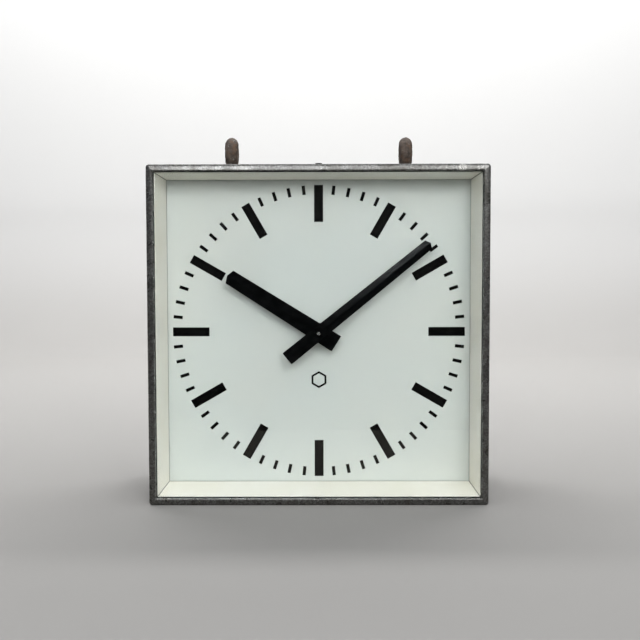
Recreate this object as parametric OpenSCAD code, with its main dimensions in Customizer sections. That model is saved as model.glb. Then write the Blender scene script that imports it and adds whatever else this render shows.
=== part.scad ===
// Double-sided square slave clock, hung by two eyes from a ceiling or a bracket.
// The clock stands upright on the XY plane. The front dial looks along -Y, the rear dial along +Y.

/* [Case] */
// Width of the case, across the dials
case_w = 420; // [340:1:520]
// Height of the case, without the eyes
case_h = 420; // [340:1:520]
// Distance from the face of the lip back to the face of the dial
dial_setback = 74; // [60:1:110]
// Distance from the face of the dial back to the middle of the case
movement_space = 31; // [31:0.5:60]
// Thickness of the sheet steel
sheet_t = 1.5; // [1:0.1:2]
// Radius of the four outer corners
corner_r = 4; // [3:0.5:10]

/* [Bezel] */
// Width of the lip seen from the front
lip_w = 8.2; // [6.5:0.1:12]
// Depth of the inner return of the lip
return_depth = 7; // [4:0.5:12]
// Depth of the bezel's outer skirt
skirt_depth = 20; // [18:1:30]
// Length of the case's joggled edge inside the skirt
joggle_len = 12; // [10:0.5:16]
// Air gap between the joggled edge and the skirt
joggle_gap = 0.3; // [0.2:0.1:0.5]
// Open seam between the case and the skirt
seam_gap = 0.3; // [0.2:0.1:1]
// Height of the bezel screws above and below the middle
bezel_screw_y = 130; // [60:1:140]

/* [Glass and seal] */
// Thickness of the glass
glass_t = 3; // [2:0.5:4]
// Thickness of the seal in front of the glass
seal_t = 2; // [1:0.5:4]
// How far the seal shows inside the opening
seal_show = 0.9; // [0:0.1:1.2]
// How far the glass reaches past the opening on each side
glass_overlap = 4; // [2:0.1:4.2]

/* [Reveal] */
// Step in from the opening to the front edge of the reveal
reveal_step = 1.4; // [1.2:0.1:3]
// How far each panel closes in from its front edge to the dial
reveal_taper = 6.6; // [2:0.1:20]
// Thickness of the panels
reveal_t = 1.2; // [0.8:0.1:2]
// Width of the flange that bears on the glass
reveal_flange = 5; // [3:0.1:5.2]
// Open mitre between two panels, measured to the mitre line
mitre_gap = 0.12; // [0.05:0.01:0.3]

/* [Dial] */
// Thickness of the dial plate
dial_t = 1.2; // [0.8:0.1:2]
// Air gap between the dial plate and the case wall
dial_edge_gap = 2.5; // [1:0.5:4]
// Radius of the hole for the hands' pipes
dial_hole_r = 8; // [6:0.5:10]
// Height of the dial screws above and below the middle
dial_screw_y = 110; // [60:1:130]
// Thickness of the printed ink
ink_t = 0.15; // [0.05:0.05:0.3]
// Gap from the outer ends of the marks to the nearest panel
mark_margin = 6.3; // [2:0.1:30]
// Length of an hour bar
bar_len = 47; // [20:0.5:60]
// Width of an hour bar
bar_w = 11.5; // [4:0.5:16]
// Length of a minute tick
tick_len = 11.8; // [5:0.1:25]
// Width of a minute tick
tick_w = 4.2; // [1:0.1:6]
// Drop of the plain hexagon below the middle of the dial
emblem_drop = 62; // [45:1:90]
// Height of the hexagon across its corners
emblem_size = 22; // [8:0.5:30]
// Line width of the hexagon
emblem_line = 2.8; // [0.5:0.1:3]

/* [Hands] */
// Gap from the minute hand's tip to the outer ends of the marks
minute_tip_gap = 6.5; // [2:0.5:30]
// Gap from the hour hand's tip to the inner ends of the hour bars
hour_tip_gap = 3.7; // [1:0.1:30]
// Tail of the minute hand behind the middle
minute_tail = 51.5; // [20:0.5:70]
// Tail of the hour hand behind the middle
hour_tail = 26.5; // [18:0.5:50]
// Width of the minute hand at its tail
minute_w_tail = 18.4; // [18:0.1:24]
// Width of the minute hand at its tip
minute_w_tip = 13.8; // [6:0.1:18]
// Width of the hour hand at its tail
hour_w_tail = 23; // [20:0.1:28]
// Width of the hour hand at its tip
hour_w_tip = 19; // [8:0.1:24]
// Length of the blunt points
hand_point = 3.4; // [1:0.1:8]
// Thickness of the hands' sheet
hand_t = 0.9; // [0.5:0.1:1.2]
// Height of the folded ridge along the minute hand
minute_ridge = 2; // [1:0.1:3]
// Height of the folded ridge along the hour hand
hour_ridge = 0.8; // [0.5:0.1:3]
// Least height of the hands' hubs
hub_h = 2; // [1.5:0.1:3]
// Height of the hour hand above the dial
hour_hand_lift = 20; // [12:0.5:24]
// Height of the minute hand above the hour hand
minute_hand_lift = 8; // [7:0.5:12]
// Radius of the hour hand's collet
hour_collet_r = 12.5; // [12:0.5:20]
// Radius of the minute hand's collet
minute_collet_r = 8; // [6:0.5:8.5]
// Time shown by the minute hand, degrees clockwise from twelve
minute_rest = 51.1; // [0:0.1:360]
// Place of the hour hand, degrees clockwise from twelve
hour_rest = 302.2; // [0:0.1:360]

/* [Movement] */
// Thickness of the movement plates
plate_t = 1.5; // [1:0.1:1.8]
// Half width of the plates
plate_half_w = 38; // [37:0.5:45]
// Reach of the plates above the centre arbor
plate_up = 34; // [32:0.5:45]
// Reach of the plates below the centre arbor
plate_down = 80; // [78:0.5:90]
// Room between the front plate and the dial for the motion work
motion_room = 9.8; // [9.6:0.1:12]
// Radius of the centre arbor
arbor_r = 2; // [1.8:0.1:2.2]
// Outer radius of the cannon pinion's pipe
cannon_r = 3.5; // [3.2:0.1:3.8]
// Outer radius of the hour wheel's pipe
hour_pipe_r = 5; // [4.6:0.1:5.5]
// Radial running clearance of every arbor and pipe
run_gap = 0.05; // [0.02:0.01:0.08]
// Thickness of the wheels
wheel_t = 1.6; // [1:0.1:1.8]
// Module of the cannon pinion and the motion wheel
motion_module = 1.0; // [0.9:0.05:1.0]
// Module of the two wheels of the impulse train, rotor side
rotor_module = 0.5; // [0.45:0.01:0.52]
// Module of the centre wheel and its pinion
centre_module = 0.6; // [0.55:0.01:0.62]

/* [Impulse drive] */
// Radius of the magnet rotor
magnet_r = 8; // [6:0.1:9]
// Air gap between the rotor and the stator
air_gap = 0.8; // [0.5:0.1:1.2]
// Thickness of the magnet and of the stator
stator_t = 3.2; // [2:0.1:3.6]
// Width of the stator's legs and core
core_w = 6; // [4:0.1:6.5]
// Outer radius of the coil
coil_r = 6.5; // [5.5:0.1:6.6]
// Length of the coil between its cheeks
coil_len = 34; // [24:0.5:38]

/* [Mounting rail] */
// Thickness of the rail across the middle of the case
rail_t = 3; // [2:0.5:3]
// Height of the rail
rail_h = 60; // [56:1:80]
// Depth of the rail's end flanges
rail_flange = 24; // [16:1:30]

/* [Hanging eyes] */
// Distance between the two eyes
eye_spacing = 225; // [160:0.5:280]
// Radius of the eye's round bar
eye_bar_r = 6.5; // [5:0.1:7]
// Radius of the hole through the eye
eye_hole_r = 7.5; // [7.4:0.1:12]
// How far the bar's ring is cut back to make the flat land of the hole
eye_land_cut = 0.5; // [0.2:0.1:1]
// Radius of the collar under the eye
eye_collar_r = 8.5; // [7:0.1:11]
// Radius of the eye's shank
eye_shank_r = 6; // [4:0.5:6]
// Thickness of the stiffening bar under the case top
hanger_t = 5; // [3:0.5:8]
// Depth of the stiffening bar
hanger_w = 40; // [30:1:44]

/* [Wiring] */
// Radius of the cable hole in the grommet
cable_r = 2.75; // [2:0.05:3.2]
// Radius of the grommet's neck
grommet_neck_r = 4.5; // [4:0.1:6]
// Height of the grommet's neck above the case
grommet_up = 7; // [5:0.5:12]
// Distance of the terminal block from the middle
terminal_x = 110; // [90:1:120]

/* [Fasteners] */
// Radius of the case screws and the dial screws
screw_r = 2; // [1.5:0.1:2]
// Clearance of every screw in its hole
screw_gap = 0.05; // [0.02:0.01:0.1]
// Radius of the flush heads of the case screws
case_head_r = 3.5; // [3:0.1:4]
// Radius of the round heads
round_head_r = 3.6; // [3:0.1:4]

/* [Hidden] */
$fn = 48;
// Clearance between pieces that bear on each other
seat = 0.05;
// Radial clearance of a wheel, hand or collet fixed on its arbor or pipe
grip = 0.02;
// Small overlap that joins two shapes of one piece, and lets a cut run past a face
bite = 0.5;

// Depths, measured from the middle of the case towards a face
dial_z = movement_space;
face_z = movement_space + dial_setback;
skirt_z = face_z - skirt_depth;
body_z = skirt_z - seam_gap;
joggle_z = body_z + joggle_len;
return_z = face_z - return_depth;
seal_z = return_z - seat - seal_t;
glass_z = seal_z - seat - glass_t;
reveal_front_z = glass_z - seat;
reveal_back_z = dial_z + seat + ink_t;
dial_back_z = dial_z - dial_t;
bezel_screw_z = skirt_z + 4;
bezel_screw_len = 3.8;
rail_screw_len = sheet_t + rail_t + 1.5;
dial_screw_len = 5;
lug_h = 22;

// Widths and heights
opening = [case_w - 2 * lip_w, case_h - 2 * lip_w];
pane = opening + [2, 2] * glass_overlap;
seal_in = opening - [2, 2] * seal_show;
reveal_front = opening / 2 - [1, 1] * reveal_step;
reveal_back = reveal_front - [1, 1] * reveal_taper;
inner = [case_w - 2 * sheet_t, case_h - 2 * sheet_t];
joggle_out = inner - [2, 2] * joggle_gap;
dial_plate = inner - [2, 2] * dial_edge_gap;
dial_screw_x = (reveal_back[0] + reveal_t + dial_plate[0] / 2) / 2 + bite;
mark_outer_r = min(reveal_back[0], reveal_back[1]) - mark_margin;
bar_inner_r = mark_outer_r - bar_len;

// Hands
minute_reach = mark_outer_r - minute_tip_gap;
hour_reach = bar_inner_r - hour_tip_gap;
hour_hand_z = dial_z + hour_hand_lift;
minute_hand_z = hour_hand_z + minute_hand_lift;
minute_hub_h = max(hub_h, minute_ridge);
hour_hub_h = max(hub_h, hour_ridge);
minute_hub_r = 7.6;
hour_hub_r = 8.6;
hour_collet_t = 4;
minute_collet_t = 3;
nut_h = 2.6;
nut_r = 4.2;
nut_edge = 1;
// Lowest point of a hand below the height at which it is placed, with its seat on the collet
hand_under = 0.75;

// Movement, measured as the depths are
base_z = rail_t / 2;
base_top_z = base_z + plate_t;
top_plate_z = dial_back_z - motion_room - plate_t;
top_face_z = top_plate_z + plate_t;
pivot_r = 1;
pivot_in = 0.3;
pinion_len = 3.2;
centre_wheel_z = base_top_z + 3.4;
lower_pinion_z = base_top_z + 2.6;
magnet_z = base_top_z + 6.7;
upper_wheel_z = base_top_z + 12;
upper_pinion_z = base_top_z + 11;
arbor_body_r = 1.5;
shoulder = 0.3;

// Tooth counts
cannon_n = 12;
motion_wheel_n = 36;
motion_pinion_n = 12;
hour_wheel_n = 48;
centre_wheel_n = 60;
inter_pinion_n = 12;
inter_wheel_n = 60;
rotor_pinion_n = 10;

// The hour wheel's module is set by sharing the motion wheel's centre distance
motion_dist = motion_module * (cannon_n + motion_wheel_n) / 2;
hour_module = 2 * motion_dist / (motion_pinion_n + hour_wheel_n);
inter_dist = centre_module * (centre_wheel_n + inter_pinion_n) / 2;
rotor_dist = rotor_module * (inter_wheel_n + rotor_pinion_n) / 2;
rotor_y = -inter_dist - rotor_dist;
coil_y = rotor_y - magnet_r - air_gap - 18;
leg_x = coil_len / 2 + 8;
stator_post = [leg_x, rotor_y - 14];

// Motion work heights above the front plate
motion_wheel_z = top_face_z + 0.8;
cannon_z = top_face_z + 0.4;
cannon_teeth = 4.4;
motion_pinion_h = 7;
hour_wheel_z = top_face_z + 5.6;

// Tooth form
pressure_angle = 20;
addendum = 0.85;
dedendum = 1.25;
backlash = 0.16;

// Mounting rail
rail_y = -26;
rail_bolt_x = 33;
rail_bolt_dy = 20;
rail_screw_dy = 18;
pillar_x = 33;
pillar_r = 3;
pillar_hi = plate_up - 5;
pillar_lo = -plate_down + 5;

// Hanging eyes
eye_ring_r = eye_hole_r - eye_land_cut + eye_bar_r;
eye_mid = eye_ring_r + eye_bar_r;
top_in_z = case_h - sheet_t;
hanger_z = top_in_z - seat - hanger_t;
washer_t = 1.6;
washer_r = 12;
eye_nut_t = 8;
eye_nut_r = 10.4;
shank_end = 3;
hanger_len = eye_spacing + 60;
grommet_barrel_r = 5.9;
grommet_flange_r = 9;
grommet_flange_t = 2.5;

// Wiring
terminal_size = [44, 20, 14];
terminal_pitch = 10;
lead_r = 1;

// Places a piece on one face: x to the right, y up and z outwards, from the middle of the case
module on_face(rear = false) {
    translate([0, 0, case_h / 2])
        rotate([90, 0, rear ? 180 : 0])
            children();
}

// Repeats a piece on both faces
module on_both_faces() {
    on_face(false) children();
    on_face(true) children();
}

module rounded_rect(size, r) {
    square([size[0] - 2 * r, size[1]], center = true);
    square([size[0], size[1] - 2 * r], center = true);
    for (sx = [-1, 1], sy = [-1, 1])
        translate([sx * (size[0] / 2 - r), sy * (size[1] / 2 - r)])
            circle(r);
}

module rect_frame(size, r, wall) {
    difference() {
        rounded_rect(size, r);
        rounded_rect(size - [2, 2] * wall, max(r - wall, 0.5));
    }
}

// A ring of sheet from depth z0 to depth z1
module frame_wall(size, r, wall, z0, z1) {
    translate([0, 0, z0])
        linear_extrude(z1 - z0)
            rect_frame(size, r, wall);
}

// Gears: a flank point at radius p, as an angle from the tooth's middle
function involute(a) = tan(a) * 180 / PI - a;
function flank(n, m, p) =
    let (base = m * n / 2 * cos(pressure_angle))
    let (a = p > base ? acos(base / p) : 0)
    90 / n - backlash * 90 / (n * PI / 2) + involute(pressure_angle) - involute(a);
function on_circle(r, a) = [r * cos(a), r * sin(a)];
function tooth(n, m, mid) =
    let (root = m * (n / 2 - dedendum))
    let (pitch = m * n / 2)
    let (tip = m * (n / 2 + addendum))
    let (steps = [root, pitch - m * dedendum * 0.45, pitch, tip])
    concat(
        [for (p = steps) on_circle(p, mid - flank(n, m, p))],
        [for (i = [3:-1:0]) on_circle(steps[i], mid + flank(n, m, steps[i]))]
    );
function gear_outline(n, m, phase) = [for (i = [0:n - 1]) each tooth(n, m, phase + i * 360 / n)];

// The phase that puts gear two in mesh with gear one, with gear two in direction dir from gear one
function mesh_phase(n1, phase1, n2, dir) = dir + 180 + (180 - (phase1 - dir) * n1) / n2;

motion_wheel_phase = mesh_phase(cannon_n, 0, motion_wheel_n, 90);
hour_wheel_phase = mesh_phase(motion_pinion_n, 0, hour_wheel_n, 270);
inter_pinion_phase = mesh_phase(centre_wheel_n, 0, inter_pinion_n, 270);
rotor_pinion_phase = mesh_phase(inter_wheel_n, 0, rotor_pinion_n, 270);

module gear(n, m, h, phase) {
    linear_extrude(h)
        polygon(gear_outline(n, m, phase));
}

// A wheel with its bore, and with round windows between hub and rim where there is room
module wheel(n, m, h, bore, phase, hub) {
    rim = m * (n / 2 - dedendum) - 2;
    window_r = (rim - hub) / 2 - 0.6;
    difference() {
        gear(n, m, h, phase);
        translate([0, 0, -bite])
            cylinder(r = bore, h = h + 2 * bite);
        for (i = [0:4])
            rotate(i * 72)
                translate([(rim + hub) / 2, 0, -bite])
                    cylinder(r = window_r, h = h + 2 * bite);
    }
}

module tube(r, bore, h) {
    difference() {
        cylinder(r = r, h = h);
        translate([0, 0, -bite])
            cylinder(r = bore, h = h + 2 * bite);
    }
}

// A rod from height z0 to height z1
module rod(r, z0, z1) {
    translate([0, 0, z0])
        cylinder(r = r, h = z1 - z0);
}

// Slotted screw with a round head that bears on z = 0
module round_screw(len) {
    head_h = 2.2;
    difference() {
        union() {
            cylinder(r = round_head_r, h = head_h);
            rod(screw_r, -len, bite);
        }
        translate([-round_head_r - bite, -0.5, head_h - 0.9])
            cube([2 * (round_head_r + bite), 1, 2]);
    }
}

// Slotted screw with a flush head whose face is at z = 0
module flush_screw(len) {
    difference() {
        union() {
            translate([0, 0, -sheet_t])
                cylinder(r1 = screw_r, r2 = case_head_r, h = sheet_t);
            rod(screw_r, -len, -sheet_t);
        }
        translate([-case_head_r - bite, -0.4, -0.6])
            cube([2 * (case_head_r + bite), 0.8, 2]);
    }
}

// The hole that a flush screw sits in, down to depth len
module flush_hole(len) {
    translate([0, 0, -sheet_t])
        cylinder(r1 = screw_r + screw_gap, r2 = case_head_r + screw_gap, h = sheet_t);
    rod(case_head_r + screw_gap, -0.01, bite);
    rod(screw_r + screw_gap, -len, -sheet_t + 0.01);
}

// Places a screw on the left and right walls of the case, pointing outwards
module on_side_walls(y, z) {
    for (side = [-1, 1])
        translate([side * case_w / 2, y, z])
            rotate([0, side * 90, 0])
                children();
}

module at_bezel_screws() {
    for (sy = [-1, 1])
        on_side_walls(sy * bezel_screw_y, bezel_screw_z)
            children();
}

module at_rail_screws() {
    for (sy = [-1, 1])
        on_side_walls(rail_y + sy * rail_screw_dy, 0)
            children();
}

module at_dial_screws() {
    for (sx = [-1, 1], sy = [-1, 1])
        translate([sx * dial_screw_x, sy * dial_screw_y, 0])
            children();
}

module bezel() {
    color("slategray")
    difference() {
        union() {
            frame_wall([case_w, case_h], corner_r, sheet_t, skirt_z, face_z);
            frame_wall([case_w, case_h], corner_r, lip_w, face_z - sheet_t, face_z);
            frame_wall(opening + [2, 2] * sheet_t, sheet_t + 0.5, sheet_t, return_z, face_z);
        }
        at_bezel_screws()
            flush_hole(bezel_screw_len + 1);
    }
}

module glass_seal() {
    ring = (pane[0] - seal_in[0]) / 2;
    color("black")
    frame_wall(pane, 2, ring, seal_z, seal_z + seal_t);
}

module glass() {
    color("lightcyan", 0.35)
    translate([0, 0, glass_z])
        linear_extrude(glass_t)
            rounded_rect(pane, 2);
}

// One panel of the reveal, on the +x side; half is its distance from the middle at the dial, and
// skew is how much further from the middle it stands than its neighbours
module reveal_panel(half, skew) {
    front = half + reveal_taper;
    x0 = half - bite;
    x1 = front + reveal_flange + bite;
    reach = function(x) x - skew - mitre_gap;
    intersection() {
        rotate([90, 0, 0])
            linear_extrude(2 * (x1 + abs(skew)), center = true)
                polygon([
                    [half, reveal_back_z],
                    [front, reveal_front_z],
                    [front + reveal_flange, reveal_front_z],
                    [front + reveal_flange, reveal_front_z - reveal_t],
                    [front + reveal_t, reveal_front_z - reveal_t],
                    [half + reveal_t, reveal_back_z]
                ]);
        translate([0, 0, reveal_back_z - bite])
            linear_extrude(reveal_front_z - reveal_back_z + 2 * bite)
                polygon([
                    [x0, reach(x0)],
                    [x1, reach(x1)],
                    [x1, -reach(x1)],
                    [x0, -reach(x0)]
                ]);
    }
}

module reveal() {
    skew = reveal_back[0] - reveal_back[1];
    color("wheat")
    for (side = [0, 1]) {
        rotate(side * 180)
            reveal_panel(reveal_back[0], skew);
        rotate(side * 180 + 90)
            reveal_panel(reveal_back[1], -skew);
    }
}

module dial() {
    color("gainsboro")
    difference() {
        translate([0, 0, dial_back_z])
            linear_extrude(dial_t)
                rounded_rect(dial_plate, 3);
        rod(dial_hole_r, dial_back_z - bite, dial_z + bite);
        at_dial_screws()
            rod(screw_r + 0.3, dial_back_z - bite, dial_z + bite);
    }
}

module dial_print() {
    color("black")
    translate([0, 0, dial_z + 0.01])
        linear_extrude(ink_t) {
            for (i = [0:59])
                rotate(i * 6) {
                    len = i % 5 == 0 ? bar_len : tick_len;
                    w = i % 5 == 0 ? bar_w : tick_w;
                    translate([-w / 2, mark_outer_r - len])
                        square([w, len]);
                }
            translate([0, -emblem_drop])
                rotate(90)
                    difference() {
                        circle(emblem_size / 2, $fn = 6);
                        circle(emblem_size / 2 - emblem_line, $fn = 6);
                    }
        }
}

// A hand of folded sheet pointing along +y, with its lower edges at z = 0
module folded_hand(reach, tail, w_tail, w_tip, ridge, bore, hub_r, hub) {
    half = w_tail / 2;
    slope = ridge / half;
    difference() {
        union() {
            intersection() {
                translate([0, 0, -bite])
                    linear_extrude(ridge + 2 * bite)
                        polygon([
                            [-half, -tail],
                            [half, -tail],
                            [w_tip / 2, reach - hand_point],
                            [0, reach],
                            [-w_tip / 2, reach - hand_point]
                        ]);
                rotate([90, 0, 0])
                    linear_extrude(2 * (reach + tail), center = true)
                        polygon([
                            [-half - 1, -slope],
                            [0, ridge],
                            [half + 1, -slope],
                            [half + 1, -slope - hand_t],
                            [0, ridge - hand_t],
                            [-half - 1, -slope - hand_t]
                        ]);
            }
            cylinder(r = hub_r, h = hub);
        }
        rod(bore, -2 * bite, hub + bite);
    }
}

module hour_hand() {
    color([0.06, 0.06, 0.06])
    translate([0, 0, hour_hand_z])
        rotate(-hour_rest)
            folded_hand(hour_reach, hour_tail, hour_w_tail, hour_w_tip, hour_ridge,
                        hour_pipe_r + grip, hour_hub_r, hour_hub_h);
}

module minute_hand() {
    color([0.06, 0.06, 0.06])
    translate([0, 0, minute_hand_z])
        rotate(-minute_rest)
            folded_hand(minute_reach, minute_tail, minute_w_tail, minute_w_tip, minute_ridge,
                        cannon_r + grip, minute_hub_r, minute_hub_h);
}

module hour_collet() {
    color("dimgray")
    translate([0, 0, hour_hand_z - hand_under - hour_collet_t])
        tube(hour_collet_r, hour_pipe_r + grip, hour_collet_t);
}

module minute_collet() {
    color("dimgray")
    translate([0, 0, minute_hand_z - hand_under - minute_collet_t])
        tube(minute_collet_r, cannon_r + grip, minute_collet_t);
}

module hand_nut() {
    color([0.1, 0.1, 0.1])
    translate([0, 0, minute_hand_z + minute_hub_h + seat])
        difference() {
            union() {
                cylinder(r = nut_r, h = nut_h - nut_edge);
                translate([0, 0, nut_h - nut_edge])
                    cylinder(r1 = nut_r, r2 = nut_r - nut_edge, h = nut_edge);
            }
            rod(arbor_r + screw_gap, -bite, nut_h - nut_edge);
        }
}

module plate_blank() {
    translate([-plate_half_w, -plate_down, 0])
        cube([2 * plate_half_w, plate_down + plate_up, plate_t]);
}

module at_pillars() {
    for (sx = [-1, 1], y = [pillar_lo, pillar_hi])
        translate([sx * pillar_x, y, 0])
            children();
}

module at_rail_bolts() {
    for (sx = [-1, 1], sy = [-1, 1])
        translate([sx * rail_bolt_x, rail_y + sy * rail_bolt_dy, 0])
            children();
}

module arbor_holes(z0, z1, centre_r) {
    rod(centre_r + run_gap, z0, z1);
    translate([0, -inter_dist, 0])
        rod(pivot_r + run_gap, z0, z1);
    translate([0, rotor_y, 0])
        rod(pivot_r + run_gap, z0, z1);
}

module at_stator_posts() {
    for (sx = [-1, 1])
        translate([sx * stator_post[0], stator_post[1], 0])
            children();
}

module base_plate() {
    color("darkkhaki")
    difference() {
        union() {
            translate([0, 0, base_z + seat])
                plate_blank();
            at_stator_posts()
                rod(2.6, base_top_z - bite, magnet_z - seat);
        }
        arbor_holes(base_z - bite, base_top_z + bite, arbor_r);
        at_rail_bolts()
            rod(screw_r + screw_gap, base_z - bite, base_top_z + bite);
        at_pillars()
            rod(1.5, base_z - bite, base_top_z + bite);
    }
}

module top_plate() {
    color("darkkhaki")
    difference() {
        union() {
            translate([0, 0, top_plate_z])
                plate_blank();
            translate([0, motion_dist, 0])
                rod(arbor_body_r, top_face_z - bite, motion_wheel_z + motion_pinion_h + 0.2);
        }
        arbor_holes(top_plate_z - bite, top_face_z + 2 * bite, arbor_r);
        at_pillars()
            rod(screw_r + screw_gap, top_plate_z - bite, top_face_z + bite);
    }
}

module centre_arbor() {
    color("silver")
    rod(arbor_r, base_z + pivot_in, minute_hand_z + minute_hub_h + nut_h - nut_edge - 0.2);
}

module centre_wheel() {
    color("gold")
    translate([0, 0, centre_wheel_z])
        wheel(centre_wheel_n, centre_module, wheel_t, arbor_r + grip, 0, 4);
}

module cannon_pinion() {
    color("gold")
    difference() {
        union() {
            translate([0, 0, cannon_z])
                gear(cannon_n, motion_module, cannon_teeth, 0);
            rod(cannon_r, cannon_z, minute_hand_z + minute_hub_h - 2 * seat);
        }
        rod(arbor_r + grip, cannon_z - bite, minute_hand_z + minute_hub_h + bite);
    }
}

module motion_wheel() {
    color("gold")
    translate([0, motion_dist, motion_wheel_z])
        difference() {
            union() {
                wheel(motion_wheel_n, motion_module, wheel_t, arbor_body_r + run_gap, motion_wheel_phase, 6);
                gear(motion_pinion_n, hour_module, motion_pinion_h, 0);
            }
            rod(arbor_body_r + run_gap, -bite, motion_pinion_h + bite);
        }
}

module hour_wheel() {
    color("gold")
    difference() {
        union() {
            translate([0, 0, hour_wheel_z])
                wheel(hour_wheel_n, hour_module, wheel_t, cannon_r + run_gap, hour_wheel_phase, 7);
            rod(hour_pipe_r, hour_wheel_z, hour_hand_z + hour_hub_h - 2 * seat);
        }
        rod(cannon_r + run_gap, hour_wheel_z - bite, hour_hand_z + hour_hub_h + bite);
    }
}

// An arbor with a pivot in each plate
module pivoted_arbor() {
    rod(arbor_body_r, base_top_z + seat + shoulder, top_plate_z - shoulder);
    rod(pivot_r, base_z + pivot_in, top_face_z - pivot_in);
}

module intermediate_wheel() {
    color("gold")
    translate([0, -inter_dist, 0]) {
        pivoted_arbor();
        translate([0, 0, lower_pinion_z])
            gear(inter_pinion_n, centre_module, pinion_len, inter_pinion_phase);
        translate([0, 0, upper_wheel_z])
            wheel(inter_wheel_n, rotor_module, wheel_t, arbor_body_r - 0.5, 0, 4);
    }
}

module rotor_magnet() {
    color("dimgray")
    translate([0, rotor_y, magnet_z])
        tube(magnet_r, arbor_body_r + grip, stator_t);
}

module rotor_arbor() {
    color("silver")
    translate([0, rotor_y, 0]) {
        pivoted_arbor();
        translate([0, 0, upper_pinion_z])
            gear(rotor_pinion_n, rotor_module, pinion_len, rotor_pinion_phase);
    }
}

// Two pole shoes with the rotor between them, joined below by the core that carries the coil
module stator() {
    pole_r = magnet_r + air_gap;
    color("gray")
    translate([0, 0, magnet_z])
        linear_extrude(stator_t)
            difference() {
                union() {
                    translate([0, rotor_y])
                        circle(pole_r + 5);
                    translate([-leg_x - core_w / 2, rotor_y - 5])
                        square([2 * leg_x + core_w, 10]);
                    for (sx = [-1, 1])
                        translate([sx * leg_x - core_w / 2, coil_y - core_w / 2])
                            square([core_w, rotor_y - coil_y + core_w / 2]);
                    translate([-leg_x, coil_y - core_w / 2])
                        square([2 * leg_x, core_w]);
                }
                translate([0, rotor_y])
                    circle(pole_r);
                translate([-0.8, rotor_y - pole_r - 6])
                    square([1.6, 2 * pole_r + 12]);
            }
}

module impulse_coil() {
    cheek = 1.2;
    color("chocolate")
    translate([0, coil_y, magnet_z + stator_t / 2])
        difference() {
            rotate([0, 90, 0]) {
                cylinder(r = coil_r - 0.6, h = coil_len, center = true);
                for (side = [-1, 1])
                    translate([0, 0, side * (coil_len + cheek) / 2])
                        cylinder(r = coil_r, h = cheek, center = true);
            }
            cube([coil_len + 4 * cheek, core_w + 0.2, stator_t + 0.2], center = true);
        }
}

module movement_pillars() {
    color("silver")
    on_both_faces()
        at_pillars()
            difference() {
                union() {
                    rod(pillar_r, base_top_z + seat, top_plate_z - seat);
                    rod(1.4, base_z + 0.2, base_top_z + bite);
                }
                rod(screw_r + screw_gap, top_plate_z - 7, top_plate_z + bite);
            }
}

module movement_screws() {
    color("silver")
    on_both_faces()
        at_pillars()
            translate([0, 0, top_face_z + seat])
                round_screw(plate_t + 6);
}

module rail_bolts() {
    color("silver")
    at_mid_case()
        at_rail_bolts() {
            translate([0, 0, base_top_z + 2 * seat])
                round_screw(2 * base_top_z + 4.5);
            translate([0, 0, -base_top_z - 2 * seat - 3])
                difference() {
                    cylinder(r = 4, h = 3, $fn = 6);
                    rod(screw_r + screw_gap, -bite, 3 + bite);
                }
        }
}

module at_mid_case() {
    on_face(false) children();
}

module mounting_rail() {
    rail_len = inner[0] - 2 * seat;
    color("slategray")
    at_mid_case()
        difference() {
            translate([0, rail_y, 0]) {
                cube([rail_len, rail_h, rail_t], center = true);
                for (side = [-1, 1])
                    translate([side * (rail_len - rail_t) / 2, 0, 0])
                        cube([rail_t, rail_h, rail_flange], center = true);
            }
            at_rail_bolts()
                rod(screw_r + screw_gap, -rail_t, rail_t);
            arbor_holes(-rail_t, rail_t, arbor_r + 1);
            at_rail_screws()
                rod(screw_r + screw_gap, -rail_screw_len - 1, -sheet_t - seat / 2);
        }
}

module case_screws() {
    color("dimgray") {
        on_both_faces()
            at_bezel_screws()
                flush_screw(bezel_screw_len);
        at_mid_case()
            at_rail_screws()
                flush_screw(rail_screw_len);
    }
}

module dial_screws() {
    color("silver")
    on_both_faces()
        at_dial_screws()
            translate([0, 0, dial_z + seat])
                round_screw(dial_screw_len);
}

// One half of the case shell, from the middle to one end
module half_shell() {
    frame_wall([case_w, case_h], corner_r, sheet_t, -bite, body_z);
    frame_wall([case_w, case_h], corner_r, 2 * sheet_t + joggle_gap, body_z - sheet_t, body_z);
    frame_wall(joggle_out, corner_r - sheet_t, sheet_t, body_z - sheet_t, joggle_z);
    for (sx = [-1, 1], sy = [-1, 1]) {
        tab = inner[0] / 2 - dial_screw_x + 5;
        translate([sx * (inner[0] / 2 - tab / 2 + bite / 2), sy * dial_screw_y, dial_back_z - seat - sheet_t / 2])
            cube([tab + bite, lug_h, sheet_t], center = true);
    }
}

module half_shell_holes() {
    at_bezel_screws()
        rod(screw_r + screw_gap, -2 * bezel_screw_len, bite);
    at_dial_screws()
        rod(screw_r + screw_gap, dial_back_z - 2 * sheet_t, dial_z);
}

module case_body() {
    color("slategray")
    difference() {
        union() {
            on_both_faces()
                half_shell();
        }
        on_both_faces()
            half_shell_holes();
        at_mid_case()
            at_rail_screws()
                flush_hole(sheet_t + 1);
        for (side = [-1, 1])
            translate([side * eye_spacing / 2, 0, 0])
                rod(eye_shank_r + 0.1, top_in_z - bite, case_h + bite);
        rod(grommet_barrel_r + 0.1, top_in_z - bite, case_h + bite);
    }
}

module hanger_bar() {
    color("slategray")
    difference() {
        translate([-hanger_len / 2, -hanger_w / 2, hanger_z])
            cube([hanger_len, hanger_w, hanger_t]);
        for (side = [-1, 1])
            translate([side * eye_spacing / 2, 0, 0])
                rod(eye_shank_r + 0.1, hanger_z - bite, top_in_z + bite);
        rod(grommet_barrel_r + 0.1, hanger_z - bite, top_in_z + bite);
    }
}

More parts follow.
